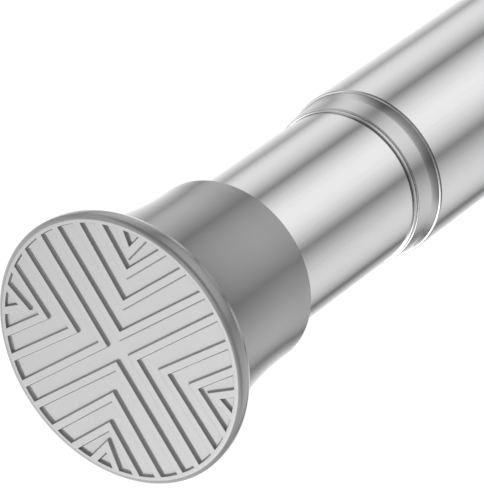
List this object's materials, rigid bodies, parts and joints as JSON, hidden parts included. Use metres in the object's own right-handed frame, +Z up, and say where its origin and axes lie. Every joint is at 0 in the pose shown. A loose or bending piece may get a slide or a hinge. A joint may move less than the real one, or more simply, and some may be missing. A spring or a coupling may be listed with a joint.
{
  "type": "spring tension rod",
  "caption": "Telescoping curtain tension rod: chrome steel tubes, tapered collar, flared rubber feet with a chevron tread, and a screw and spring inside.",
  "frame": {"origin": "centre of the tread of the outer tube's foot, on the plane that meets the wall", "axes": "+X along the rod from the outer tube's foot to the inner tube's foot, +Z up"},
  "size_m": [0.3972, 0.0384, 0.0384],
  "materials": {
    "steel_tube": "bright plated",
    "foot_rubber": "moulded matte",
    "collar_plastic": "moulded, metallised silver",
    "inner_plastic": "moulded",
    "zinc_steel": "zinc plated",
    "spring_steel": "drawn wire"
  },
  "bodies": {
    "outer_tube": {"outer_tube": "steel_tube", "outer_foot": "foot_rubber", "collar": "collar_plastic", "spring_cup": "inner_plastic", "cup_washer": "zinc_steel"},
    "spindle": {"spindle": "inner_plastic", "spring_washer": "zinc_steel", "tension_spring": "spring_steel", "tail_washer": "zinc_steel", "retaining_clip": "zinc_steel", "end_stop": "inner_plastic", "end_screw": "zinc_steel"},
    "guide": {"guide_ring": "inner_plastic"},
    "inner_tube": {"inner_tube": "steel_tube", "inner_foot": "foot_rubber", "drive_nut": "inner_plastic", "nut_rivets": "zinc_steel", "inner_end_plug": "inner_plastic"}
  },
  "joints": [
    {"name": "spring_travel", "type": "slide", "parent": "outer_tube", "child": "spindle", "axis": [1, 0, 0], "range_m": [-0.012, 0], "stiffness_N_per_m": 3000, "springref_m": 0.008, "deforming": ["tension_spring"]},
    {"name": "extend", "type": "slide", "parent": "spindle", "child": "guide", "axis": [1, 0, 0], "range_m": [-0.016, 0.12]},
    {"name": "twist", "type": "hinge", "parent": "guide", "child": "inner_tube", "pos_m": [0.1433, 0, 0], "axis": [1, 0, 0], "range_deg": [-960, 7200]}
  ],
  "couplings": [
    {"joint": "extend", "follows": "twist", "m_per_rad": 0.00095493}
  ]
}
